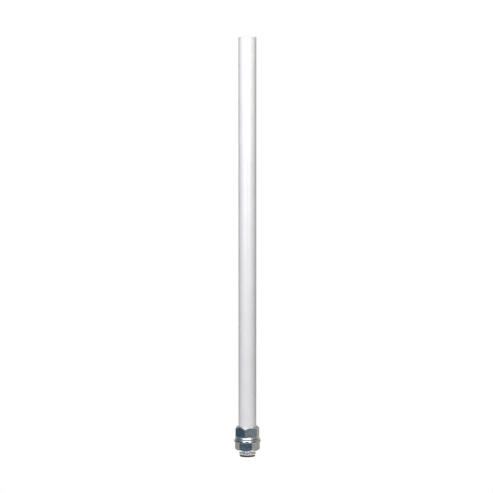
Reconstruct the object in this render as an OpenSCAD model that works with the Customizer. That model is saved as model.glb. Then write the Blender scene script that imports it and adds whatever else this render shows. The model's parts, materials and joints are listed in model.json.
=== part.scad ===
// Omnidirectional collinear antenna with a fibreglass radome and a threaded panel-mount base.
// Upright along +Z. The origin is on the antenna's axis in the clamp plane, where the top of the
// mounting panel bears on the flat washer. The clamp nut and the coaxial connector are below it.

/* [Radome] */
// Length of the radome tube
tube_length = 366.3; // [250:0.1:600]
// Outer diameter of the radome tube
tube_od = 16.8; // [14:0.1:20.4]
// Wall thickness of the radome tube
tube_wall = 1.7; // [1.2:0.05:2.1]

/* [Top cap] */
// Thickness of the cap's flange, flush with the tube
cap_thickness = 1.2; // [0.8:0.1:4]
// Radius on the cap's upper edge
cap_edge_radius = 0.5; // [0.1:0.1:0.7]
// Length of the cap's spigot inside the tube
cap_spigot_length = 8; // [6:0.5:20]
// Wall thickness of the cap's hollow spigot
cap_spigot_wall = 2.2; // [1.9:0.1:3]

/* [Base fitting] */
// Width of the base fitting's hexagon across its flats
fitting_across_flats = 20.64; // [17.2:0.01:26]
// Height of the base fitting's hexagon
fitting_height = 10; // [6:0.1:16]
// Turn of the base fitting's hexagon about the axis
fitting_turn = 18; // [0:1:59]
// Width of the flat ring left around the tube on the hexagon's top face
fitting_face_margin = 0.9; // [0.2:0.1:1.5]
// Angle of the chamfer on the hexagon's top, measured from the flat face
fitting_chamfer = 42; // [20:1:50]
// Length of the spigot bonded into the tube
spigot_length = 22; // [14:0.5:40]
// Diameter of the wire passage through the spigot
passage_d = 6; // [4.2:0.1:7]
// Width of each glue groove around the spigot
glue_groove_width = 1.4; // [0.6:0.1:2]
// Depth of each glue groove
glue_groove_depth = 0.35; // [0.1:0.05:0.5]
// Distance from one glue groove to the next
glue_groove_pitch = 3.6; // [2.5:0.1:5]

/* [Sealing rings] */
// Section diameter of the two sealing rings
seal_section = 1.2; // [0.8:0.1:1.4]
// Distance from the tube's end to a sealing ring's middle
seal_inset = 3; // [2:0.1:4]
// Extra width of a sealing ring's groove
seal_groove_extra = 0.3; // [0.1:0.05:0.6]

/* [Clamp thread and hardware] */
// Outside diameter of the base thread, 5/8-24 UNEF
thread_d = 15.88; // [13.2:0.01:19.1]
// Thread left showing below the clamp nut
exposed_thread = 3.2; // [1.5:0.1:16]
// Chamfer on the thread's lower end
thread_chamfer = 0.4; // [0.2:0.1:0.8]
// Width of the relief groove between the clamp thread and the connector thread
relief_width = 0.8; // [0.4:0.1:1.5]
// Depth of the relief groove
relief_depth = 0.6; // [0.2:0.1:0.8]
// Width of the clamp nut across its flats
nut_across_flats = 20.64; // [17.6:0.01:26]
// Height of the clamp nut
nut_height = 9.2; // [5:0.1:14]
// Turn of the clamp nut's hexagon about the axis
nut_turn = 51; // [0:1:59]
// Width of the flat ring left around the thread on the nut's lower face
nut_face_margin = 0.66; // [0.2:0.02:1.5]
// Angle of the chamfer on the nut's lower side, measured from the flat face
nut_chamfer = 35; // [15:1:50]
// Countersink where the thread enters the nut
nut_countersink = 0.4; // [0.1:0.05:0.6]
// Outer diameter of the flat washer
washer_od = 25.2; // [21:0.1:34]
// Thickness of the flat washer
washer_thickness = 2.2; // [1:0.1:4]
// Radius on the flat washer's edges
washer_edge_radius = 0.5; // [0.1:0.1:0.8]
// Outer diameter of the spring lock washer
lock_od = 23.3; // [20.5:0.1:30]
// Thickness of the spring lock washer, pressed flat
lock_thickness = 2.7; // [1.2:0.1:4]
// Radius on the spring lock washer's edges
lock_edge_radius = 0.4; // [0.1:0.1:0.5]
// Width of the spring lock washer's split
lock_split = 0.8; // [0.4:0.1:1.5]
// Place of the split around the axis
lock_turn = -41; // [-180:1:180]
// Slope of the split through the washer's thickness
lock_slope = 24; // [0:1:35]

/* [Coaxial connector] */
// Diameter of the mouth that takes the plug's outer contact
mouth_bore_d = 8.5; // [7.1:0.05:11]
// Depth of the mouth
mouth_depth = 9.1; // [8.2:0.1:12]
// Diameter of the air space around the centre contact
conductor_bore_d = 7; // [6:0.05:7.05]
// Length of that air space behind the mouth
conductor_bore_length = 3.5; // [1:0.1:6]
// Diameter of the bore that holds the insulators
insulator_bore_d = 8.8; // [7.6:0.1:10]
// Length of the front insulator
front_insulator_length = 5; // [3:0.1:8]
// Length of the rear insulator
rear_insulator_length = 4; // [2:0.1:8]
// Length of the earthing bush behind the insulators
bush_length = 2.9; // [1:0.1:5]
// Diameter of the barrel's plain neck, screwed into the base fitting
neck_d = 12; // [10.6:0.1:12.6]
// Diameter of the centre contact
contact_d = 3.04; // [2.5:0.01:3.7]
// Distance from the mouth's edge back to the contact's tip
contact_recess = 4.3; // [3:0.1:6]
// Diameter of the contact's pin socket
socket_d = 1.7; // [1.3:0.02:2.1]
// Depth of the contact's pin socket
socket_depth = 5.5; // [4:0.1:7]
// Length of the contact's spring slots
slot_length = 4.6; // [2:0.1:5.4]
// Width of the contact's spring slots
slot_width = 0.3; // [0.1:0.05:0.5]
// Diameter of the collar that locates the contact
collar_d = 4.6; // [4:0.1:6]
// Length of the collar
collar_length = 1.2; // [0.6:0.1:2]
// Depth of the solder cup at the contact's rear end
cup_depth = 3; // [1.5:0.1:4]

/* [Dust plug] */
// Diameter of the dust plug's head
plug_head_d = 14.6; // [11.5:0.1:18]
// Thickness of the dust plug's head
plug_head_thickness = 1.8; // [1.2:0.1:4]
// Radius on the head's lower edge
plug_edge_radius = 0.7; // [0.2:0.1:1]
// Diameter of the shallow dish under the head
plug_dish_d = 8; // [3:0.5:11]
// Depth of the dish
plug_dish_depth = 0.6; // [0.2:0.1:0.9]
// Length of the plug's hollow stem
plug_stem_length = 7; // [3:0.1:8]
// Wall thickness of the plug's hollow stem
plug_stem_wall = 1; // [0.6:0.1:1.5]

/* [Feed] */
// Diameter of the feed line's inner conductor
feed_inner_d = 0.92; // [0.5:0.02:1.2]
// Diameter of the feed line's dielectric
feed_dielectric_d = 2.98; // [2:0.02:3.2]
// Diameter of the feed line's outer conductor
feed_shield_d = 3.58; // [3.4:0.02:4.1]
// Length of the choke sleeve
choke_length = 28; // [15:0.5:60]
// Outer diameter of the choke sleeve
choke_od = 9; // [7:0.1:10]
// Wall thickness of the choke sleeve
choke_wall = 0.5; // [0.3:0.1:0.9]
// Thickness of the choke sleeve's closed end
choke_end = 0.8; // [0.4:0.1:2]
// Gap between the spigot's end and the choke sleeve
choke_standoff = 4; // [1:0.5:20]
// Length of the ring that centres the choke sleeve's open end
choke_spacer_length = 3; // [1:0.5:6]

/* [Radiator] */
// Thickness of the radiator board
board_thickness = 1; // [0.6:0.1:1.6]
// Gap between each edge of the radiator board and the tube's wall
board_edge_gap = 1.45; // [0.8:0.05:2.4]
// Gap between the choke sleeve and the radiator board
board_standoff = 3; // [1:0.5:10]
// Depth of the notch that takes the feed line's outer conductor
board_notch_depth = 5; // [3:0.5:8]
// Depth of the narrow notch that takes the inner conductor
board_lead_depth = 3; // [2:0.5:5]
// Thickness of the copper elements
foil_thickness = 0.1; // [0.05:0.05:0.2]
// Length of one radiating section, half a wavelength on the board
section_length = 40; // [20:0.5:60]
// Width of the narrow line between the wide elements
line_width = 2.2; // [1.2:0.1:3]
// Plain border between the wide elements and the board's edges
element_border = 0.6; // [0.3:0.1:1.5]
// Gap between one wide element and the ends of its section
element_end_gap = 1.5; // [0.5:0.1:4]
// Number of earthing pins at the board's far end
pin_count = 3; // [1:1:4]
// Diameter of the earthing pins
pin_d = 0.8; // [0.4:0.1:1]
// Distance from one earthing pin to the next
pin_pitch = 2.2; // [1.5:0.1:3]
// How far each earthing pin stands out of the copper
pin_standout = 0.3; // [0.1:0.1:0.6]
// Radius of the solder joint on the inner conductor
solder_radius = 1.3; // [0.9:0.1:2]
// Height of the solder joint on the inner conductor
solder_height = 0.4; // [0.2:0.1:1]
// Length of the two solder fillets on the outer conductor
fillet_length = 2.6; // [1:0.1:3.5]

/* [Foam] */
// Length of each foam spacer
foam_length = 10; // [4:0.5:20]
// Distance from one foam spacer to the next
foam_pitch = 70; // [40:1:120]
// Distance from the board's lower end to the first foam spacer
foam_first = 24; // [12:1:40]
// Length of the cushion above the board
cushion_length = 9; // [6:0.5:16]
// How far the board reaches into the cushion
cushion_grip = 4; // [1:0.5:5]

/* [Fits] */
// Radial gap between bonded, pressed or soldered pieces
bond_gap = 0.03; // [0.02:0.01:0.06]
// Radial running gap between the thread and the clamp nut
running_gap = 0.06; // [0.03:0.01:0.1]
// Radial gap between the thread and the washers
washer_gap = 0.2; // [0.1:0.05:0.3]
// Radial gap between the foam pieces and the tube
foam_gap = 0.1; // [0.05:0.05:0.3]
// Radial gap between the dust plug's stem and the mouth
plug_gap = 0.06; // [0.03:0.01:0.1]

/* [Hidden] */
$fn = 96;

// Overshoot of every cutting shape past the face it cuts
cut = 1;

// Small gaps and steps of the feed
notch_gap = 0.1;
notch_end_gap = 0.2;
bare_dielectric_length = 1;
feed_end_gap = 0.3;
fillet_r = 0.9;

// Radii
tube_r = tube_od / 2;
bore_r = tube_r - tube_wall;
spigot_r = bore_r - bond_gap;
thread_r = thread_d / 2;
mouth_r = mouth_bore_d / 2;
neck_r = neck_d / 2;
insulator_r = insulator_bore_d / 2;
contact_r = contact_d / 2;
shield_r = feed_shield_d / 2;
choke_r = choke_od / 2;
seal_r = seal_section / 2;
seal_middle_r = bore_r - bond_gap - seal_r;
seal_floor_r = seal_middle_r - seal_r - bond_gap;
foam_r = bore_r - foam_gap;

// Heights of the clamp stack, from the clamp plane up
lock_z = washer_thickness;
fitting_z = lock_z + lock_thickness;
tube_z = fitting_z + fitting_height;
cap_z = tube_z + tube_length;
spigot_top = tube_z + spigot_length;
cap_spigot_z = cap_z - cap_spigot_length;

// Heights of the connector
mouth_z = -nut_height - exposed_thread;
conductor_bore_z = mouth_z + mouth_depth;
front_insulator_z = conductor_bore_z + conductor_bore_length;
collar_z = front_insulator_z + front_insulator_length;
rear_insulator_z = collar_z + collar_length;
bush_z = rear_insulator_z + rear_insulator_length;
neck_top = bush_z + bush_length;
contact_z = mouth_z + contact_recess;

// Heights of the feed and the radiator
choke_z = spigot_top + choke_standoff;
choke_top = choke_z + choke_length;
board_z = choke_top + board_standoff;
board_top = cap_spigot_z - cushion_length + cushion_grip;
board_length = board_top - board_z;
board_width = 2 * (bore_r - board_edge_gap);
element_z = board_z + board_notch_depth;
dielectric_top = element_z - notch_end_gap;
shield_top = dielectric_top - bare_dielectric_length;
lead_top = element_z + board_lead_depth - notch_end_gap;
feed_z = bush_z + feed_end_gap;
section_count = floor((board_length - board_notch_depth - cushion_length) / section_length);
elements_top = element_z + section_count * section_length;
pins_z = elements_top - 2 * pin_d;
foam_count = floor((board_length - foam_first - foam_length - cushion_length) / foam_pitch) + 1;
face_y = board_thickness / 2;

// Ring with plain edges between two heights
module ring(outer_r, inner_r, z0, z1) {
    translate([0, 0, z0])
    difference() {
        cylinder(r = outer_r, h = z1 - z0);
        translate([0, 0, -cut])
        cylinder(r = inner_r, h = z1 - z0 + 2 * cut);
    }
}

// Ring with its outer edges rounded
module rounded_ring(outer_r, inner_r, height, edge) {
    rotate_extrude()
    union() {
        translate([inner_r, 0])
        square([outer_r - edge - inner_r, height]);
        translate([outer_r - edge - edge, edge])
        square([2 * edge, height - 2 * edge]);
        for (z = [edge, height - edge])
            translate([outer_r - edge, z])
            circle(r = edge);
    }
}

// Hexagonal prism with a turned chamfer around its upper face
module chamfered_hexagon(across_flats, height, face_r, angle, turn) {
    corner_r = across_flats / sqrt(3);
    outside_r = corner_r + cut;
    drop = (outside_r - face_r) * tan(angle);
    intersection() {
        rotate([0, 0, turn])
        cylinder(r = corner_r, h = height, $fn = 6);
        rotate_extrude()
        polygon([
            [0, -cut], [outside_r, -cut], [outside_r, height - drop], [face_r, height], [0, height]
        ]);
    }
}

// Groove around a spigot, cut down to a floor radius
module groove(floor_r, middle_z, width) {
    ring(bore_r + cut, floor_r, middle_z - width / 2, middle_z + width / 2);
}

// Sealing ring squeezed into its groove
module seal(middle_z) {
    translate([0, 0, middle_z])
    rotate_extrude()
    translate([seal_middle_r, 0])
    circle(r = seal_r);
}

module radome_tube() {
    color("whitesmoke")
    ring(tube_r, bore_r, tube_z, cap_z);
}

module top_cap() {
    color("gainsboro")
    difference() {
        union() {
            translate([0, 0, cap_z])
            rotate_extrude() {
                square([tube_r, cap_thickness - cap_edge_radius]);
                square([tube_r - cap_edge_radius, cap_thickness]);
                translate([tube_r - cap_edge_radius, cap_thickness - cap_edge_radius])
                intersection() {
                    circle(r = cap_edge_radius);
                    square(2 * cap_edge_radius);
                }
            }
            translate([0, 0, cap_spigot_z])
            cylinder(r = spigot_r, h = cap_spigot_length);
        }
        translate([0, 0, cap_spigot_z - cut])
        cylinder(r = spigot_r - cap_spigot_wall, h = cap_spigot_length - cap_thickness + cut);
        groove(seal_floor_r, cap_z - seal_inset, seal_section + seal_groove_extra);
    }
}

module cap_seal_ring() {
    color("dimgray")
    seal(cap_z - seal_inset);
}

module base_fitting() {
    seal_z = tube_z + seal_inset;
    first_glue_z = seal_z + seal_section + glue_groove_pitch;
    glue_end_z = spigot_top - glue_groove_width;
    color("silver")
    difference() {
        union() {
            translate([0, 0, fitting_z])
            chamfered_hexagon(
                fitting_across_flats, fitting_height, tube_r + fitting_face_margin,
                fitting_chamfer, fitting_turn
            );
            translate([0, 0, tube_z - cut])
            cylinder(r = spigot_r, h = spigot_length + cut);
        }
        translate([0, 0, fitting_z - cut])
        cylinder(r = neck_r + bond_gap, h = neck_top - fitting_z + cut);
        translate([0, 0, fitting_z])
        cylinder(d = passage_d, h = spigot_top - fitting_z + cut);
        groove(seal_floor_r, seal_z, seal_section + seal_groove_extra);
        for (z = [first_glue_z : glue_groove_pitch : glue_end_z])
            groove(spigot_r - glue_groove_depth, z, glue_groove_width);
    }
}

module base_seal_ring() {
    color("dimgray")
    seal(tube_z + seal_inset);
}

module connector_barrel() {
    relief_top = -nut_height + relief_width;
    color("lightgray")
    difference() {
        union() {
            translate([0, 0, mouth_z + thread_chamfer])
            cylinder(r = thread_r, h = fitting_z - mouth_z - thread_chamfer);
            translate([0, 0, mouth_z])
            cylinder(r1 = thread_r - thread_chamfer, r2 = thread_r, h = thread_chamfer);
            translate([0, 0, fitting_z])
            cylinder(r = neck_r, h = neck_top - fitting_z);
        }
        ring(thread_r + cut, thread_r - relief_depth, -nut_height, relief_top);
        translate([0, 0, mouth_z - cut])
        cylinder(r = mouth_r, h = mouth_depth + cut);
        translate([0, 0, conductor_bore_z - cut])
        cylinder(d = conductor_bore_d, h = conductor_bore_length + 2 * cut);
        translate([0, 0, front_insulator_z])
        cylinder(r = insulator_r, h = neck_top - front_insulator_z + cut);
    }
}

module front_insulator() {
    color("ivory")
    ring(insulator_r - bond_gap, contact_r + bond_gap, front_insulator_z, collar_z);
}

module centre_contact() {
    color("goldenrod")
    difference() {
        union() {
            translate([0, 0, contact_z])
            cylinder(r = contact_r, h = bush_z - contact_z);
            translate([0, 0, collar_z])
            cylinder(d = collar_d, h = collar_length);
        }
        translate([0, 0, contact_z - cut])
        cylinder(d = socket_d, h = socket_depth + cut);
        for (turn = [0, 90])
            rotate([0, 0, turn])
            translate([-contact_r - cut, -slot_width / 2, contact_z - cut])
            cube([contact_d + 2 * cut, slot_width, slot_length + cut]);
        translate([0, 0, bush_z - cup_depth])
        cylinder(d = feed_inner_d + 2 * bond_gap, h = cup_depth + cut);
    }
}

module rear_insulator() {
    color("ivory")
    ring(insulator_r - bond_gap, contact_r + bond_gap, rear_insulator_z, bush_z);
}

module earthing_bush() {
    color("gold")
    ring(insulator_r - bond_gap, shield_r + bond_gap, bush_z, neck_top);
}

module dust_plug() {
    stem_r = mouth_r - plug_gap;
    color([0.1, 0.1, 0.1])
    translate([0, 0, mouth_z])
    difference() {
        union() {
            translate([0, 0, -plug_head_thickness])
            rotate_extrude() {
                translate([0, plug_edge_radius])
                square([plug_head_d / 2, plug_head_thickness - plug_edge_radius]);
                square([plug_head_d / 2 - plug_edge_radius, plug_head_thickness]);
                translate([plug_head_d / 2 - plug_edge_radius, plug_edge_radius])
                circle(r = plug_edge_radius);
            }
            cylinder(r = stem_r, h = plug_stem_length);
        }
        cylinder(r = stem_r - plug_stem_wall, h = plug_stem_length + cut);
        translate([0, 0, -plug_head_thickness - cut])
        cylinder(d = plug_dish_d, h = plug_dish_depth + cut);
    }
}

module clamp_nut() {
    nut_r = thread_r + running_gap;
    color("silver")
    difference() {
        mirror([0, 0, 1])
        chamfered_hexagon(
            nut_across_flats, nut_height, thread_r + nut_face_margin,
            nut_chamfer, nut_turn
        );
        translate([0, 0, -nut_height - cut])
        cylinder(r = nut_r, h = nut_height + 2 * cut);
        translate([0, 0, -nut_height])
        cylinder(r1 = nut_r + nut_countersink, r2 = nut_r, h = nut_countersink);
        translate([0, 0, -nut_countersink])
        cylinder(r1 = nut_r, r2 = nut_r + nut_countersink, h = nut_countersink);
    }
}

module flat_washer() {
    color("gainsboro")
    rounded_ring(washer_od / 2, thread_r + washer_gap, washer_thickness, washer_edge_radius);
}

module lock_washer() {
    color("lightsteelblue")
    translate([0, 0, lock_z])
    difference() {
        rounded_ring(lock_od / 2, thread_r + washer_gap, lock_thickness, lock_edge_radius);
        rotate([0, 0, lock_turn])
        translate([0, 0, lock_thickness / 2])
        rotate([lock_slope, 0, 0])
        translate([0, -lock_split / 2, -lock_thickness])
        cube([lock_od, lock_split, 2 * lock_thickness]);
    }
}

module feed_inner_conductor() {
    bottom = bush_z - cup_depth + bond_gap;
    color("silver")
    translate([0, 0, bottom])
    cylinder(d = feed_inner_d, h = lead_top - bottom);
}

module feed_dielectric() {
    color("white")
    ring(feed_dielectric_d / 2, feed_inner_d / 2 + bond_gap, feed_z, dielectric_top);
}

module feed_outer_conductor() {
    color("peru")
    ring(shield_r, feed_dielectric_d / 2 + bond_gap, feed_z, shield_top);
}

module choke_sleeve() {
    color("gold")
    union() {
        ring(choke_r, choke_r - choke_wall, choke_z, choke_top);
        ring(choke_r - choke_wall / 2, shield_r + bond_gap, choke_z, choke_z + choke_end);
    }
}

module choke_spacer() {
    color("ivory")
    ring(choke_r - choke_wall - bond_gap, shield_r + bond_gap, choke_top - choke_spacer_length, choke_top);
}

// Notches at the board's lower end for the feed line
module feed_notches() {
    shield_gap = shield_r + notch_gap;
    lead_gap = feed_inner_d / 2 + notch_gap;
    translate([-shield_gap, -board_width, board_z - cut])
    cube([2 * shield_gap, 2 * board_width, board_notch_depth + cut]);
    translate([-lead_gap, -board_width, board_z])
    cube([2 * lead_gap, 2 * board_width, board_notch_depth + board_lead_depth]);
}

// Places of the earthing pins along the board's far end
module at_pins() {
    for (i = [0 : pin_count - 1])
        translate([(i - (pin_count - 1) / 2) * pin_pitch, 0, pins_z])
        rotate([90, 0, 0])
        children();
}

module pin_holes() {
    at_pins()
    cylinder(d = pin_d + 2 * bond_gap, h = 2 * board_width, center = true);
}

module radiator_board() {
    color("darkseagreen")
    difference() {
        translate([-board_width / 2, -face_y, board_z])
        cube([board_width, board_thickness, board_length]);
        feed_notches();
        pin_holes();
    }
}

// Copper on one face: a narrow line all the way, with a wide element on every other section
module elements(first) {
    wide = board_width - 2 * element_border;
    feed_pad_z = board_z + element_border;
    difference() {
        union() {
            translate([-line_width / 2, 0, element_z])
            cube([line_width, foil_thickness, elements_top - element_z]);
            translate([-wide / 2, 0, feed_pad_z])
            cube([wide, foil_thickness, element_z + element_end_gap - feed_pad_z]);
            for (i = [first : 2 : section_count - 1])
                translate([-wide / 2, 0, element_z + i * section_length + element_end_gap])
                cube([wide, foil_thickness, section_length - 2 * element_end_gap]);
            translate([-wide / 2, 0, pins_z - 2 * pin_d])
            cube([wide, foil_thickness, elements_top - pins_z + 2 * pin_d]);
        }
        feed_notches();
        pin_holes();
    }
}

module front_elements() {
    color("chocolate")
    translate([0, -face_y - foil_thickness, 0])
    elements(0);
}

module rear_elements() {
    color("chocolate")
    translate([0, face_y, 0])
    elements(1);
}

module earthing_pins() {
    color("silver")
    at_pins()
    cylinder(d = pin_d, h = board_thickness + 2 * (foil_thickness + pin_standout), center = true);
}

// One joint on the inner conductor, and one fillet on each side of the outer conductor
module feed_solder() {
    front_y = face_y + foil_thickness;
    lead_gap = feed_inner_d / 2 + notch_gap;
    joint_z = lead_top - solder_radius - notch_end_gap;
    color("lightgray") {
        difference() {
            union() {
                translate([0, -front_y, joint_z])
                rotate([90, 0, 0])
                cylinder(r1 = solder_radius, r2 = solder_radius / 2, h = solder_height);
                translate([bond_gap - lead_gap, -front_y - solder_height / 2, joint_z - solder_radius / 2])
                cube([2 * (lead_gap - bond_gap), front_y, solder_radius]);
            }
            translate([0, 0, board_z])
            cylinder(d = feed_inner_d + bond_gap, h = lead_top - board_z + cut);
        }
        for (side = [-1, 1])
            difference() {
                translate([side * (shield_r + fillet_r / 2), front_y, shield_top - fillet_length])
                cylinder(r = fillet_r, h = fillet_length);
                translate([0, 0, board_z - cut])
                cylinder(r = shield_r + bond_gap, h = board_notch_depth + cut);
                translate([-board_width, front_y - 2 * fillet_r, board_z - cut])
                cube([2 * board_width, 2 * fillet_r, board_notch_depth + 2 * cut]);
            }
    }
}

// Clearance slot for the board and its copper through a foam piece
module board_slot(z0, z1) {
    slot_x = board_width + 2 * foam_gap;
    slot_y = board_thickness + 2 * (foil_thickness + foam_gap);
    translate([-slot_x / 2, -slot_y / 2, z0])
    cube([slot_x, slot_y, z1 - z0]);
}

module foam_spacers() {
    color("lavender")
    for (i = [0 : foam_count - 1]) {
        z = board_z + foam_first + i * foam_pitch;
        difference() {
            translate([0, 0, z])
            cylinder(r = foam_r, h = foam_length);
            board_slot(z - cut, z + foam_length + cut);
        }
    }
}

module top_cushion() {
    bottom = board_top - cushion_grip;
    color("slategray")
    difference() {
        translate([0, 0, bottom])
        cylinder(r = foam_r, h = cushion_length);
        board_slot(bottom - cut, board_top);
    }
}

radome_tube();
top_cap();
cap_seal_ring();
base_fitting();
base_seal_ring();
connector_barrel();
front_insulator();
centre_contact();
rear_insulator();
earthing_bush();
dust_plug();
clamp_nut();
flat_washer();
lock_washer();
feed_inner_conductor();
feed_dielectric();
feed_outer_conductor();
choke_sleeve();
choke_spacer();
radiator_board();
front_elements();
rear_elements();
earthing_pins();
feed_solder();
foam_spacers();
top_cushion();
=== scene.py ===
"""Looks of a panel-mount omnidirectional antenna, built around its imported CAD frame.

The pieces that can be seen are modelled here: the fibreglass tube and its cap, the hexagonal base
fitting, the washers, the dust plug, and the nut and the barrel with their real threads. The pieces
inside the tube and the connector stay as the CAD made them and get their materials here.
"""

import json
import math

import bmesh
import bpy
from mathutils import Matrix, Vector


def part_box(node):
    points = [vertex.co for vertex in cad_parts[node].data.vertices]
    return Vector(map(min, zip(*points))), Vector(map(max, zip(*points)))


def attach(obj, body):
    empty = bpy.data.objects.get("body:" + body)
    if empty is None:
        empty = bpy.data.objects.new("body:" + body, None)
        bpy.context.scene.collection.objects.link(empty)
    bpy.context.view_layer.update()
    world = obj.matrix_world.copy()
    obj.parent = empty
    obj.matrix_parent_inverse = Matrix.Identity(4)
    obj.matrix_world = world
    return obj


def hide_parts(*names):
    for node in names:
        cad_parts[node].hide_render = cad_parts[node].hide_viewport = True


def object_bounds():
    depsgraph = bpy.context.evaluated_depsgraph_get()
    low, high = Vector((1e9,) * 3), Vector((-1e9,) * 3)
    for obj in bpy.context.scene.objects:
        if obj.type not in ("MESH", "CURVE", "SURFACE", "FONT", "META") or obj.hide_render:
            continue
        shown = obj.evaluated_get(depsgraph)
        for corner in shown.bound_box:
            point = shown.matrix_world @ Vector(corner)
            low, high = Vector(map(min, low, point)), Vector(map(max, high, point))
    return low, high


MM = 0.001
TURN = 2 * math.pi

ROUND_COLUMNS = 192
FLAT_COLUMNS = 14   # steps across each side of a hexagon
ARC_STEPS = 3       # steps round a small edge
CROWN_STEPS = 8     # steps round a washer's edge
FLANK_STEPS = 4     # steps across a thread's flank
SHARP_ANGLE = 38    # degrees

PITCH = 0.0254 / 24  # 24 turns to the inch
FLANK = math.tan(math.radians(30))
EXTERNAL_DEPTH = 0.6134 * PITCH
INTERNAL_DEPTH = 0.5413 * PITCH
EXTERNAL_CREST = 1 / 16  # half widths, in pitches
INTERNAL_CREST = 1 / 8
INTERNAL_ROOT = 1 / 16

FLANK_GAP = 0.03 * MM
BOND_GAP = 0.03 * MM
FACE_GAP = 0.01 * MM  # keeps flush faces on different bodies from cutting each other
SLICE = 0.01 * MM     # how near a height or a radius counts as the same
HEXAGON_EDGE = 0.28 * MM

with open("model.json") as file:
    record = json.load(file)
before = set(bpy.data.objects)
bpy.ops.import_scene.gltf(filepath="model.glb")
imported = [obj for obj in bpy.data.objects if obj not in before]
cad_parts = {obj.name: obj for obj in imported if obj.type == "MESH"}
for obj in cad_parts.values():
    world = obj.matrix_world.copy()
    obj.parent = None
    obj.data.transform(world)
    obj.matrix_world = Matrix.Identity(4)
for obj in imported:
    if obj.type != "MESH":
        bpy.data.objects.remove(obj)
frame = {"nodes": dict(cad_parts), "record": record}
cad_low, cad_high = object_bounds()


# ---------------------------------------------------------------- sizes measured in the frame

def corners_of(node):
    """(distance from the axis, height) of each corner of a CAD node."""
    return [(math.hypot(v.co.x, v.co.y), v.co.z) for v in frame["nodes"][node].data.vertices]


def measure(node, low=-math.inf, high=math.inf):
    """Smallest and largest distance from the axis of a CAD node's corners between two heights."""
    found = [r for r, z in corners_of(node) if low <= z <= high]
    return min(found), max(found)


def top_of_bore(node, bore_r):
    """Height at which a bore ends."""
    return max(z for r, z in corners_of(node) if r < bore_r + SLICE)


def middle_of(node):
    """Height of a CAD node's middle."""
    low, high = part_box(node)
    return (low.z + high.z) / 2


barrel_low, barrel_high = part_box("connector_barrel")
fitting_low, fitting_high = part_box("base_fitting")
tube_low, tube_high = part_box("radome_tube")
cap_low, cap_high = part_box("top_cap")
nut_low, nut_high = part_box("clamp_nut")
plug_low, plug_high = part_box("dust_plug")

mouth_z = barrel_low.z
insulator_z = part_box("front_insulator")[0].z
major_r = measure("connector_barrel")[1]
nut_bore_r = measure("clamp_nut")[0]
bore_r, tube_r = measure("radome_tube")
spigot_r = measure("base_fitting", tube_low.z + SLICE)[1]
passage_r = measure("base_fitting", fitting_high.z - SLICE)[0]
seal_floor_r = measure("cap_seal_ring")[0] - BOND_GAP
neck_r = measure("connector_barrel", fitting_low.z + SLICE)[1]
insulator_r = measure("front_insulator")[1]
mouth_r = measure("connector_barrel", mouth_z, mouth_z + SLICE)[0]
mouth_end_z = max(z for r, z in corners_of("connector_barrel") if abs(r - mouth_r) < SLICE)
air_r = measure("connector_barrel", mouth_end_z - SLICE, insulator_z + SLICE)[0]


# ---------------------------------------------------------------- mesh helpers

def softened(corners, steps=ARC_STEPS):
    """Outline of (r, z) points from corners (r, z, edge radius in mm), with the edges rounded."""
    outline = []
    for i, (r, z, edge_mm) in enumerate(corners):
        here = Vector((r, z))
        if not edge_mm:
            outline.append(here)
            continue
        edge = edge_mm * MM
        back = (Vector(corners[i - 1][:2]) - here).normalized()
        ahead = (Vector(corners[(i + 1) % len(corners)][:2]) - here).normalized()
        half = math.acos(max(-1.0, min(1.0, back.dot(ahead)))) / 2
        reach = edge / math.tan(half)
        middle = here + (back + ahead).normalized() * (edge / math.sin(half))
        arm, end = here + back * reach - middle, here + ahead * reach - middle
        sweep = math.copysign(math.pi - 2 * half, arm.x * end.y - arm.y * end.x)
        for step in range(steps + 1):
            c, s = math.cos(sweep * step / steps), math.sin(sweep * step / steps)
            outline.append(middle + Vector((arm.x * c - arm.y * s, arm.x * s + arm.y * c)))
    return outline


def round_columns():
    """Columns (angle, radius) of a round piece, whose outline needs no radius from its column."""
    return [(TURN * i / ROUND_COLUMNS, 0.0) for i in range(ROUND_COLUMNS)]


def hexagon_columns(node):
    """Columns (angle, radius) round a CAD node's hexagon, with its upright edges rounded."""
    corner = max(frame["nodes"][node].data.vertices, key=lambda v: math.hypot(v.co.x, v.co.y)).co
    flat = math.hypot(corner.x, corner.y) * math.cos(math.pi / 6)
    centre = (flat - HEXAGON_EDGE) / math.cos(math.pi / 6)
    half_width = (flat - HEXAGON_EDGE) * math.tan(math.pi / 6)
    columns = []
    for side in range(6):
        normal = math.atan2(corner.y, corner.x) + math.pi / 6 + side * math.pi / 3
        for i in range(FLAT_COLUMNS + 1):
            across = half_width * (2 * i / FLAT_COLUMNS - 1)
            columns.append((normal + math.atan2(across, flat), math.hypot(across, flat)))
        for i in range(1, ARC_STEPS + 1):
            lean = math.pi / 3 * i / (ARC_STEPS + 1) - math.pi / 6
            x = centre + HEXAGON_EDGE * math.cos(lean)
            y = HEXAGON_EDGE * math.sin(lean)
            columns.append((normal + math.pi / 6 + math.atan2(y, x), math.hypot(x, y)))
    return columns


def join_columns(bm, pairs, closed):
    """Faces between pairs of neighbouring columns, whose ends meet if closed."""
    for near, far in pairs:
        for i in range(0 if closed else 1, len(near)):
            bm.faces.new((near[i - 1], far[i - 1], far[i], near[i]))


def sweep_around(bm, columns, outline, closed=True):
    """Turns outline(radius) round the axis. A closed outline makes a ring-shaped body."""
    made = []
    for angle, radius in columns:
        c, s = math.cos(angle), math.sin(angle)
        made.append([bm.verts.new((r * c, r * s, z)) for r, z in outline(radius)])
    join_columns(bm, zip(made, made[1:] + made[:1]), closed)


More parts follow.
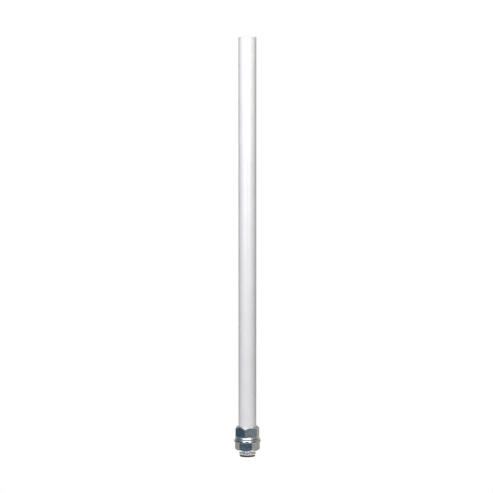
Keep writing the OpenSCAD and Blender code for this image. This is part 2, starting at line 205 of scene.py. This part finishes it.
def thread_around(bm, columns, low, high, places, radius_at):
    """Adds a helical surface between two heights, with its rows along the helix.

    places are where the rows stand along one pitch, and radius_at(place, z) is the radius.
    """
    first, last = math.floor(low / PITCH) - 2, math.ceil(high / PITCH) + 1
    angles = [angle for angle, _ in columns]
    made = []
    for angle in angles + [angles[0] + TURN]:
        lead = angle / TURN
        c, s = math.cos(angle), math.sin(angle)
        column = []
        for k in range(first, last + 1):
            for place in places:
                z = min(high, max(low, PITCH * (k + place + lead)))
                r = radius_at((z / PITCH - lead) % 1.0, z)
                column.append(bm.verts.new((r * c, r * s, z)))
        made.append(column)
    join_columns(bm, zip(made, made[1:]), closed=False)


def thread_places(start, end):
    """Row places for one pitch: the ends, the middle, and both flanks from start to end."""
    flank = [start + (end - start) * i / FLANK_STEPS for i in range(FLANK_STEPS + 1)]
    return [0.0, *flank, 0.5, *[1 - place for place in reversed(flank)]]


# ---------------------------------------------------------------- material helpers

def add_node(tree, kind, settings=None, **inputs):
    """Adds a node. Inputs are values or sockets, by socket name or by place as i0, i1 and so on."""
    node = tree.nodes.new(kind)
    for key, value in (settings or {}).items():
        setattr(node, key, value)
    for key, value in inputs.items():
        by_place = key[0] == "i" and key[1:].isdigit()
        socket = node.inputs[int(key[1:]) if by_place else key]
        if isinstance(value, bpy.types.NodeSocket):
            tree.links.new(value, socket)
        else:
            socket.default_value = value
    return node


class Finish:
    """A Principled material with a few short ways to add procedural detail."""

    def __init__(self, name, **sockets):
        self.material = bpy.data.materials.new(name)
        self.material.use_nodes = True
        self.tree = self.material.node_tree
        self.shader = self.tree.nodes["Principled BSDF"]
        self.bump_from = None
        for socket, value in sockets.items():
            self.shader.inputs[socket.replace("_", " ")].default_value = value

    def add(self, kind, settings=None, **inputs):
        return add_node(self.tree, kind, settings, **inputs)

    def coords(self, stretch=(1, 1, 1)):
        place = self.add("ShaderNodeTexCoord").outputs["Object"]
        return self.add("ShaderNodeMapping", Vector=place, Scale=stretch).outputs[0]

    def polar(self):
        """Distance from the axis and height, as a vector that is the same all the way round."""
        place = self.add("ShaderNodeSeparateXYZ", Vector=self.coords())
        flat = self.add("ShaderNodeCombineXYZ", X=place.outputs["X"], Y=place.outputs["Y"])
        radius = self.add("ShaderNodeVectorMath", {"operation": "LENGTH"}, i0=flat.outputs[0])
        return self.add("ShaderNodeCombineXYZ", X=radius.outputs["Value"],
                        Y=place.outputs["Z"]).outputs[0]

    def noise(self, per_metre, vector=None, detail=4.0, distortion=0.0):
        return self.add("ShaderNodeTexNoise", Vector=vector or self.coords(), Scale=per_metre,
                        Detail=detail, Distortion=distortion).outputs["Fac"]

    def blend(self, factor, first, second):
        """Mixes two numbers or sockets by a factor."""
        return self.add("ShaderNodeMix", {"data_type": "FLOAT"}, i0=factor, i2=first,
                        i3=second).outputs[0]

    def spread(self, value, low, high, start=0.3, end=0.7):
        """Spreads the middle of a texture's range over low to high."""
        return self.add("ShaderNodeMapRange", Value=value, i1=start, i2=end, i3=low,
                        i4=high).outputs[0]

    def colour(self, value, first, second, start=0.35, end=0.65, middle=None):
        """Turns a number into a colour between two colours, by way of a middle one if given."""
        ramp = self.add("ShaderNodeValToRGB", Fac=value)
        stops = ramp.color_ramp.elements
        stops[0].position, stops[0].color = start, (*first, 1)
        stops[1].position, stops[1].color = end, (*second, 1)
        if middle:
            stops.new((start + end) / 2).color = (*middle, 1)
        return ramp.outputs["Color"]

    def use(self, socket, value):
        self.tree.links.new(value, self.shader.inputs[socket])

    def bump(self, height, depth_mm, strength=1.0):
        """Stacks a bump of a depth on the bumps made before it."""
        node = self.add("ShaderNodeBump", Height=height, Distance=depth_mm * MM, Strength=strength)
        if self.bump_from:
            self.tree.links.new(self.bump_from, node.inputs["Normal"])
        self.bump_from = node.outputs["Normal"]
        self.use("Normal", self.bump_from)


# ---------------------------------------------------------------- materials

def fibreglass():
    """White gel-coated tube: long fibres just show along it under a satin coat."""
    f = Finish("white_fibreglass", Coat_Weight=0.1, Coat_Roughness=0.28, Specular_IOR_Level=0.35)
    fibres = f.noise(1.0, f.coords((2600, 2600, 45)), detail=5)
    cloud = f.noise(55, detail=3)
    mixed = f.blend(0.35, cloud, fibres)
    f.use("Base Color", f.colour(mixed, (0.849, 0.844, 0.85), (0.892, 0.888, 0.889)))
    f.use("Roughness", f.spread(cloud, 0.28, 0.36))
    f.bump(fibres, 0.010, 0.6)
    f.bump(f.noise(700, detail=2), 0.012, 0.5)
    return f.material


def moulded_white():
    """Cap: white plastic with the fine grain of a spark-eroded mould."""
    f = Finish("white_moulding", Specular_IOR_Level=0.5)
    cloud = f.noise(160, detail=3)
    f.use("Base Color", f.colour(cloud, (0.82, 0.82, 0.815), (0.87, 0.87, 0.865)))
    f.use("Roughness", f.spread(cloud, 0.40, 0.52))
    f.bump(f.noise(5200, detail=3), 0.010)
    return f.material


def plated(name, dark, light, rough, middle=None):
    """Bright plating on machined metal: drawn marks on upright faces, turning rings on the rest."""
    f = Finish(name, Metallic=1.0)
    drawn = f.noise(1.0, f.coords((5200, 5200, 260)), detail=5)
    rings = f.noise(6500, f.polar(), detail=4)
    normal = f.add("ShaderNodeSeparateXYZ", Vector=f.add("ShaderNodeTexCoord").outputs["Normal"])
    level = f.add("ShaderNodeMath", {"operation": "ABSOLUTE"}, i0=normal.outputs["Z"]).outputs[0]
    marks = f.blend(f.spread(level, 0.0, 1.0, 0.2, 0.5), drawn, rings)
    cloud = f.noise(420, detail=5, distortion=0.4)
    f.use("Base Color", f.colour(cloud, dark, light, 0.34, 0.66, middle))
    f.use("Roughness", f.spread(f.blend(0.5, f.noise(900, detail=6), marks), *rough))
    f.bump(marks, 0.004)
    f.bump(cloud, 0.006, 0.5)
    return f.material


def soft_black():
    """Dust plug: black low-density plastic with a faint bloom and fine grain."""
    f = Finish("black_plug_plastic", Specular_IOR_Level=0.5)
    cloud = f.noise(380, detail=4)
    f.use("Base Color", f.colour(cloud, (0.012, 0.012, 0.014), (0.03, 0.03, 0.032)))
    f.use("Roughness", f.spread(cloud, 0.34, 0.5))
    f.bump(f.noise(3800, detail=3), 0.012)
    return f.material


def metal_inside(name, dark, light, rough, grain=(2400, 2400, 2400)):
    """Metal that stays inside: patchy tarnish and fine marks."""
    f = Finish(name, Metallic=1.0)
    cloud = f.noise(500, detail=5, distortion=0.5)
    marks = f.noise(1.0, f.coords(grain), detail=5)
    f.use("Base Color", f.colour(f.blend(0.3, cloud, marks), dark, light))
    f.use("Roughness", f.spread(cloud, *rough))
    f.bump(marks, 0.006)
    return f.material


def fluoropolymer():
    """Insulator: waxy, slightly translucent white with turning marks."""
    f = Finish("waxy_fluoropolymer", Subsurface_Weight=0.25, Subsurface_Scale=1 * MM)
    cloud = f.noise(600, detail=3)
    f.use("Base Color", f.colour(cloud, (0.80, 0.79, 0.76), (0.87, 0.865, 0.84)))
    f.use("Roughness", f.spread(cloud, 0.32, 0.46))
    f.bump(f.noise(5200, f.polar(), detail=3), 0.008)
    return f.material


def rubber():
    """Sealing ring: matt black rubber with a little talc on it."""
    f = Finish("sealing_rubber", Specular_IOR_Level=0.4)
    talc = f.noise(2200, detail=5)
    f.use("Base Color", f.colour(talc, (0.018, 0.018, 0.019), (0.06, 0.06, 0.062), 0.45, 0.75))
    f.use("Roughness", f.spread(talc, 0.6, 0.8))
    f.bump(f.noise(6500, detail=3), 0.01)
    return f.material


def glass_epoxy():
    """Radiator board: green-yellow laminate with its glass weave showing through."""
    f = Finish("glass_epoxy", Coat_Weight=0.3, Coat_Roughness=0.2)
    threads = [f.add("ShaderNodeTexWave", {"bands_direction": way}, Vector=f.coords(), Scale=300.0,
                     Distortion=1.5, Detail=2.0).outputs["Fac"] for way in "XZ"]
    weave = f.blend(0.5, *threads)
    f.use("Base Color", f.colour(weave, (0.25, 0.31, 0.15), (0.46, 0.50, 0.30), 0.2, 0.8))
    f.use("Roughness", f.spread(weave, 0.34, 0.5, 0.2, 0.8))
    f.bump(weave, 0.012)
    return f.material


def closed_cell_foam():
    """Foam: pale, with the skin of small closed cells."""
    f = Finish("closed_cell_foam", Specular_IOR_Level=0.3, Subsurface_Weight=0.1,
               Subsurface_Scale=1 * MM)
    cells = f.add("ShaderNodeTexVoronoi", Vector=f.coords(), Scale=1500.0).outputs["Distance"]
    cloud = f.noise(300, detail=3)
    f.use("Base Color", f.colour(f.blend(0.5, cells, cloud), (0.66, 0.66, 0.70), (0.83, 0.83, 0.86)))
    f.use("Roughness", f.spread(cells, 0.7, 0.9))
    f.bump(cells, 0.12)
    return f.material


MATERIALS = {
    "radome": fibreglass(),
    "cap": moulded_white(),
    "zinc_steel": plated("bright_zinc", (0.64, 0.655, 0.66), (0.79, 0.80, 0.80), (0.11, 0.22)),
    "spring_steel": plated("passivated_zinc", (0.70, 0.79, 0.77), (0.88, 0.88, 0.87), (0.20, 0.33),
                           middle=(0.78, 0.86, 0.84)),
    "nickel_brass": plated("bright_nickel", (0.76, 0.74, 0.72), (0.88, 0.865, 0.85), (0.14, 0.26)),
    "gold_contact": metal_inside("gold_plate", (0.80, 0.56, 0.22), (0.92, 0.70, 0.33), (0.15, 0.28)),
    "bare_brass": metal_inside("drawn_brass", (0.62, 0.45, 0.20), (0.80, 0.62, 0.32), (0.22, 0.40),
                               grain=(2600, 2600, 90)),
    "ptfe": fluoropolymer(),
    "black_plastic": soft_black(),
    "seal_rubber": rubber(),
    "copper": metal_inside("bare_copper", (0.60, 0.27, 0.15), (0.82, 0.45, 0.30), (0.24, 0.42)),
    "silver_wire": metal_inside("silvered_wire", (0.66, 0.64, 0.60), (0.84, 0.83, 0.80), (0.16, 0.30),
                                grain=(3000, 3000, 90)),
    "laminate": glass_epoxy(),
    "solder": metal_inside("tin_solder", (0.52, 0.52, 0.53), (0.72, 0.72, 0.72), (0.22, 0.38)),
    "foam": closed_cell_foam(),
}


# ---------------------------------------------------------------- pieces

modelled = set()


def finish_mesh(bm, name, body, slot, node):
    """Welds the mesh, makes the object, and says what it rides on and stands for."""
    bmesh.ops.remove_doubles(bm, verts=bm.verts, dist=2e-7)
    bmesh.ops.dissolve_degenerate(bm, edges=bm.edges, dist=1e-7)
    bmesh.ops.recalc_face_normals(bm, faces=bm.faces)
    mesh = bpy.data.meshes.new(name)
    bm.to_mesh(mesh)
    bm.free()
    mesh.shade_smooth()
    mesh.set_sharp_from_angle(angle=math.radians(SHARP_ANGLE))
    mesh.materials.append(MATERIALS[slot])
    piece = bpy.data.objects.new(name, mesh)
    bpy.context.scene.collection.objects.link(piece)
    piece.modifiers.new("normals", "WEIGHTED_NORMAL").keep_sharp = True
    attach(piece, body)
    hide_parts(node)
    modelled.add(node)
    return piece


def turned(corners, name, body, slot, node, closed=True, steps=ARC_STEPS):
    """A round piece, turned from one outline."""
    outline = softened(corners, steps)
    bm = bmesh.new()
    sweep_around(bm, round_columns(), lambda _: outline, closed)
    return finish_mesh(bm, name, body, slot, node)


def groove(middle_z, floor_r, width, edge_mm=0.15, lip_mm=0.05):
    """Corners of a groove round a spigot, read upwards."""
    low, high = middle_z - width / 2, middle_z + width / 2
    return [(spigot_r, low, lip_mm), (floor_r, low, edge_mm), (floor_r, high, edge_mm),
            (spigot_r, high, lip_mm)]


SEAL_GROOVE_WIDTH = 1.5 * MM


def radome():
    """Fibreglass tube with both its ends lightly broken."""
    edge = 0.18
    turned([(bore_r, tube_low.z, edge), (tube_r, tube_low.z, edge), (tube_r, tube_high.z, edge),
            (bore_r, tube_high.z, edge)], "tube", "antenna", "radome", "radome_tube")


def cap():
    """Flat cap with a hollow spigot and a sealing ring's groove."""
    hollow_r = measure("top_cap", cap_low.z, cap_low.z + SLICE)[0]
    ceiling = top_of_bore("top_cap", hollow_r)
    rim = tube_high.z
    seal = groove(middle_of("cap_seal_ring"), seal_floor_r, SEAL_GROOVE_WIDTH)
    turned([(0, cap_high.z, 0), (tube_r, cap_high.z, 0.5), (tube_r, rim, 0.18), (spigot_r, rim, 0),
            *reversed(seal), (spigot_r, cap_low.z, 0.4), (hollow_r, cap_low.z, 0.2),
            (hollow_r, ceiling, 0.4), (0, ceiling, 0)], "cap", "antenna", "cap", "top_cap",
           closed=False)


def base_hexagon():
    """Base fitting: hexagon chamfered at the top, and a spigot with seal and glue grooves."""
    rim_r = tube_r + 0.9 * MM
    slope = math.tan(math.radians(42))
    glue_width, glue_depth, glue_pitch = 1.4 * MM, 0.35 * MM, 3.6 * MM
    top = tube_low.z
    socket_r = neck_r + BOND_GAP
    seal_z = middle_of("base_seal_ring")
    grooves = groove(seal_z, seal_floor_r, SEAL_GROOVE_WIDTH)
    glue_z = seal_z + 4.8 * MM
    while glue_z < fitting_high.z - glue_width:
        grooves += groove(glue_z, spigot_r - glue_depth, glue_width)
        glue_z += glue_pitch
    inside = [(spigot_r, top, 0), *grooves, (spigot_r, fitting_high.z, 0.3),
              (passage_r, fitting_high.z, 0.2), (passage_r, barrel_high.z, 0.1),
              (socket_r, barrel_high.z, 0), (socket_r, fitting_low.z, 0.1)]

    def outline(radius):
        crease = top - (radius - rim_r) * slope
        return softened([(radius, fitting_low.z, 0.22), (radius, crease, 0.14), (rim_r, top, 0.08),
                         *inside])

    bm = bmesh.new()
    sweep_around(bm, hexagon_columns("base_fitting"), outline)
    finish_mesh(bm, "base_hexagon", "antenna", "zinc_steel", "base_fitting")


def barrel():
    """Connector barrel: a real thread outside, the connector's stepped bore inside."""
    columns = round_columns()
    top, neck_top = fitting_low.z, barrel_high.z
    under_r = major_r - 0.69 * MM
    run_out = top - 0.7 * MM
    relief_low = nut_low.z
    relief_high = relief_low + 0.8 * MM

    def thread_r(place, z):
        from_crest = min(place, 1 - place) * PITCH
        cut = max(0.0, from_crest - EXTERNAL_CREST * PITCH) / FLANK
        thread = major_r - min(EXTERNAL_DEPTH, cut)
        ends = under_r + min(z - mouth_z, max(0.0, run_out - z))
        relief = under_r + max(0.0, relief_low - z, z - relief_high)
        return max(under_r, min(thread, ends, relief))

    bm = bmesh.new()
    places = thread_places(EXTERNAL_CREST, EXTERNAL_CREST + EXTERNAL_DEPTH * FLANK / PITCH)
    thread_around(bm, columns, mouth_z, top, places, thread_r)
    inside = softened([(under_r, top, 0), (neck_r, top, 0), (neck_r, neck_top, 0.2),
                       (insulator_r, neck_top, 0.1), (insulator_r, insulator_z, 0),
                       (air_r, insulator_z, 0.05), (air_r, mouth_end_z, 0.05),
                       (mouth_r, mouth_end_z, 0), (mouth_r, mouth_z, 0.25), (under_r, mouth_z, 0)])
    sweep_around(bm, columns, lambda _: inside, closed=False)
    finish_mesh(bm, "threaded_barrel", "antenna", "nickel_brass", "connector_barrel")


def nut():
    """Clamp nut: hexagon with the chamfer below, and a real thread inside."""
    columns = hexagon_columns("clamp_nut")
    bottom, top = nut_low.z, nut_high.z - FACE_GAP
    entry_r = nut_bore_r + 0.4 * MM
    face_r = major_r + 0.66 * MM
    slope = math.tan(math.radians(35))

    def outline(radius):
        crease = bottom + (radius - face_r) * slope
        return softened([(entry_r, bottom, 0), (face_r, bottom, 0.06), (radius, crease, 0.14),
                         (radius, top, 0.25), (entry_r, top, 0)])

    def thread_r(place, z):
        from_crest = abs(place - 0.5) * PITCH
        cut = max(0.0, from_crest - INTERNAL_CREST * PITCH + FLANK_GAP) / FLANK
        thread = min(nut_bore_r, major_r - INTERNAL_DEPTH + cut)
        return max(thread, entry_r - min(z - bottom, top - z))

    bm = bmesh.new()
    sweep_around(bm, columns, outline, closed=False)
    places = thread_places(INTERNAL_ROOT, 0.5 - INTERNAL_CREST + FLANK_GAP / PITCH)
    thread_around(bm, columns, bottom, top, places, thread_r)
    finish_mesh(bm, "nut", "clamp_nut", "zinc_steel", "clamp_nut")


def stamped_washer():
    """Flat washer with the rolled upper edge of a stamping."""
    inner_r, outer_r = measure("flat_washer")
    low, high = (corner.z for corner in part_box("flat_washer"))
    turned([(inner_r, low, 0.15), (outer_r, low, 0.2), (outer_r, high, 1.1), (inner_r, high, 0.2)],
           "washer", "flat_washer", "zinc_steel", "flat_washer", steps=CROWN_STEPS)


def spring_washer():
    """Split ring: its section runs round from one slanting end face to the other."""
    inner_r, outer_r = measure("lock_washer")
    box_low, box_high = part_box("lock_washer")
    low, high = box_low.z + FACE_GAP, box_high.z - FACE_GAP
    middle = (low + high) / 2
    split, slant, turn = 0.8 * MM, math.radians(24), math.radians(-41)
    section = softened([(inner_r, low, 0.3), (outer_r, low, 0.45), (outer_r, high, 1.6),
                        (inner_r, high, 0.3)], CROWN_STEPS)
    bm = bmesh.new()
    columns = []
    for i in range(ROUND_COLUMNS + 1):
        column = []
        for r, z in section:
            lean = (z - middle) * math.sin(slant)
            start = math.asin((split / 2 - lean) / (r * math.cos(slant)))
            end = TURN - math.asin((split / 2 + lean) / (r * math.cos(slant)))
            angle = turn + start + (end - start) * i / ROUND_COLUMNS
            column.append(bm.verts.new((r * math.cos(angle), r * math.sin(angle), z)))
        columns.append(column)
    join_columns(bm, zip(columns, columns[1:]), closed=True)
    bm.faces.new(columns[0])
    bm.faces.new(columns[-1])
    piece = finish_mesh(bm, "split_washer", "lock_washer", "spring_steel", "lock_washer")
    edge = piece.modifiers.new("edge", "BEVEL")
    edge.width = 0.12 * MM
    edge.segments = 2
    edge.limit_method = "ANGLE"
    edge.angle_limit = math.radians(50)
    piece.modifiers.move(1, 0)


def dust_plug():
    """Push-in plug: rounded head with a dish below, and a hollow ribbed stem in the mouth."""
    hollow_r, stem_r = measure("dust_plug", mouth_z + SLICE)
    head_r = measure("dust_plug")[1]
    dish_r = measure("dust_plug", plug_low.z, plug_low.z + SLICE)[0]
    dish_z = plug_low.z + 0.6 * MM
    waist_r = stem_r - 0.2 * MM
    first_rib, rib_pitch, rib_half, crest_half = 1.6 * MM, 1.9 * MM, 0.45 * MM, 0.12 * MM
    corners = [(0, dish_z, 0), (dish_r - 0.3 * MM, dish_z, 0.3), (dish_r, plug_low.z, 0.2),
               (head_r, plug_low.z, 0.4), (head_r, mouth_z, 0.15), (waist_r, mouth_z, 0.15)]
    for rib in range(3):
        z = mouth_z + first_rib + rib * rib_pitch
        corners += [(waist_r, z - rib_half, 0.1), (stem_r, z - crest_half, 0.06),
                    (stem_r, z + crest_half, 0.06), (waist_r, z + rib_half, 0.1)]
    corners += [(waist_r, plug_high.z, 0.3), (hollow_r, plug_high.z, 0.25), (hollow_r, mouth_z, 0.4),
                (0, mouth_z, 0)]
    turned(corners, "plug", "dust_plug", "black_plastic", "dust_plug", closed=False)


radome()
cap()
base_hexagon()
barrel()
nut()
stamped_washer()
spring_washer()
dust_plug()

for part in frame["record"]["subparts"]:
    if part["node"] not in modelled:
        slots = frame["nodes"][part["node"]].data.materials
        slots.clear()
        slots.append(MATERIALS[part["material_slot"]])


# ---------------------------------------------------------------- stage, light and camera

FLOOR_Z = cad_low.z - 20 * MM  # below the pulled-out plug
FLOOR_HALF = 0.2
FLOOR_FADE = (0.04, 0.13)
KEY_HEIGHTS = (0.13, 0.53)
FILL_HEIGHTS = (0.08, 0.50)
LIGHT_DISTANCE = 0.85
HIGHEST_TARGET = 0.36

DIM_BLUE = (0.05, 0.095, 0.135, 1)
WARM_GREY = (0.40, 0.385, 0.35, 1)
SIDE_GLOW = (0.20, 0.23, 0.25, 1)
OVERHEAD = (1.1, 1.15, 1.18, 1)
MATT_SHARE = 0.2  # of the room's light that reaches matt surfaces

LENS_MM = 178.9
SENSOR_MM = 36.0
CAMERA_DISTANCE = 2.3
AIM_OFFSET = Vector((-0.85, 0.0, 1.4)) * MM  # from the antenna's middle


def floor():
    """Plain pale floor that fades out into the background and isn't seen from below."""
    bm = bmesh.new()
    bmesh.ops.create_grid(bm, x_segments=24, y_segments=24, size=FLOOR_HALF)
    mesh = bpy.data.meshes.new("floor")
    bm.to_mesh(mesh)
    bm.free()
    plane = bpy.data.objects.new("floor", mesh)
    plane.location.z = FLOOR_Z
    bpy.context.scene.collection.objects.link(plane)
    f = Finish("pale_floor", Roughness=0.9, Base_Color=(0.85, 0.85, 0.85, 1),
               Emission_Color=(1, 1, 1, 1))
    path = f.add("ShaderNodeLightPath").outputs
    given = f.blend(path["Is Diffuse Ray"], 0.6, 0.15)
    f.use("Emission Strength", f.blend(path["Is Camera Ray"], given, 0.75))
    away = f.add("ShaderNodeVectorMath", {"operation": "LENGTH"}, i0=f.coords()).outputs["Value"]
    below = f.add("ShaderNodeNewGeometry").outputs["Backfacing"]
    f.use("Alpha", f.blend(below, f.spread(away, 1.0, 0.0, *FLOOR_FADE), 0.0))
    mesh.materials.append(f.material)


def softbox(name, azimuth, distance, heights, width, power, colour=(1, 1, 1), reflected=True):
    """Soft light at an azimuth from the camera's side, facing the antenna."""
    data = bpy.data.lights.new(name, "AREA")
    data.shape = "RECTANGLE"
    data.size, data.size_y = width, heights[1] - heights[0]
    data.energy = power
    data.color = colour
    light = bpy.data.objects.new(name, data)
    turn = math.radians(azimuth)
    height = sum(heights) / 2
    target = Vector((0, 0, min(height, HIGHEST_TARGET)))
    light.location = (distance * math.sin(turn), -distance * math.cos(turn), height)
    light.rotation_mode = "QUATERNION"
    light.rotation_quaternion = (target - light.location).to_track_quat("-Z", "Y")
    light.visible_camera = False
    light.visible_glossy = reflected
    bpy.context.scene.collection.objects.link(light)


def studio_room():
    """White backdrop, with a dim blue room in front and a warm pale one behind in reflections.

    Little of the room's light reaches matt surfaces, so the softboxes shape the tube.
    """
    world = bpy.data.worlds.new("studio_room")
    world.use_nodes = True
    bpy.context.scene.world = world
    tree = world.node_tree
    tree.nodes.clear()
    ray = add_node(tree, "ShaderNodeTexCoord").outputs["Generated"]
    path = add_node(tree, "ShaderNodeLightPath").outputs

    def towards(direction, start, end):
        """From 0 to 1 as the ray turns towards a direction."""
        facing = add_node(tree, "ShaderNodeVectorMath", {"operation": "DOT_PRODUCT"}, i0=ray,
                          i1=direction)
        return add_node(tree, "ShaderNodeMapRange", {"interpolation_type": "SMOOTHSTEP"},
                        Value=facing.outputs["Value"], i1=start, i2=end).outputs[0]

    def mix(factor, first, second):
        return add_node(tree, "ShaderNodeMix", {"data_type": "RGBA"}, i0=factor, i6=first,
                        i7=second).outputs[2]

    walls = mix(towards((0.35, 1.0, 0.0), -0.1, 0.6), DIM_BLUE, WARM_GREY)
    walls = mix(towards((0.59, -0.81, 0.0), 0.85, 1.0), walls, SIDE_GLOW)
    room = mix(towards((0.0, 0.0, 1.0), 0.72, 0.96), walls, OVERHEAD)
    strength = add_node(tree, "ShaderNodeMapRange", Value=path["Is Glossy Ray"], i3=MATT_SHARE, i4=1.0)
    lit = add_node(tree, "ShaderNodeBackground", Color=room, Strength=strength.outputs[0])
    seen = add_node(tree, "ShaderNodeBackground", Color=(1, 1, 1, 1), Strength=1.0)
    both = add_node(tree, "ShaderNodeMixShader", i0=path["Is Camera Ray"], i1=lit.outputs[0],
                    i2=seen.outputs[0])
    add_node(tree, "ShaderNodeOutputWorld", Surface=both.outputs[0])


def camera():
    """Long lens, level with the antenna's top and aimed at its middle."""
    data = bpy.data.cameras.new("camera")
    data.lens = LENS_MM
    data.sensor_width = SENSOR_MM
    data.clip_start, data.clip_end = 0.05, 30.0
    view = bpy.data.objects.new("camera", data)
    aim = (cad_low + cad_high) / 2 + AIM_OFFSET
    view.location = (aim.x, -CAMERA_DISTANCE, cad_high.z)
    view.rotation_mode = "QUATERNION"
    view.rotation_quaternion = (aim - view.location).to_track_quat("-Z", "Y")
    bpy.context.scene.collection.objects.link(view)
    bpy.context.scene.camera = view


floor()
studio_room()
softbox("key_left", -31, LIGHT_DISTANCE, KEY_HEIGHTS, 0.36, 3.6, (0.95, 0.95, 1.0))
softbox("key_right", 23, LIGHT_DISTANCE, KEY_HEIGHTS, 0.24, 2.65, (1.0, 0.99, 0.965))
softbox("top_front", -8, 0.42, (0.56, 0.80), 0.24, 1.9)
softbox("back_fill", 180, LIGHT_DISTANCE, FILL_HEIGHTS, 0.50, 2.2, reflected=False)
softbox("side_fill", 100, LIGHT_DISTANCE, FILL_HEIGHTS, 0.40, 0.5, reflected=False)
camera()
bpy.context.scene.view_settings.view_transform = "Standard"
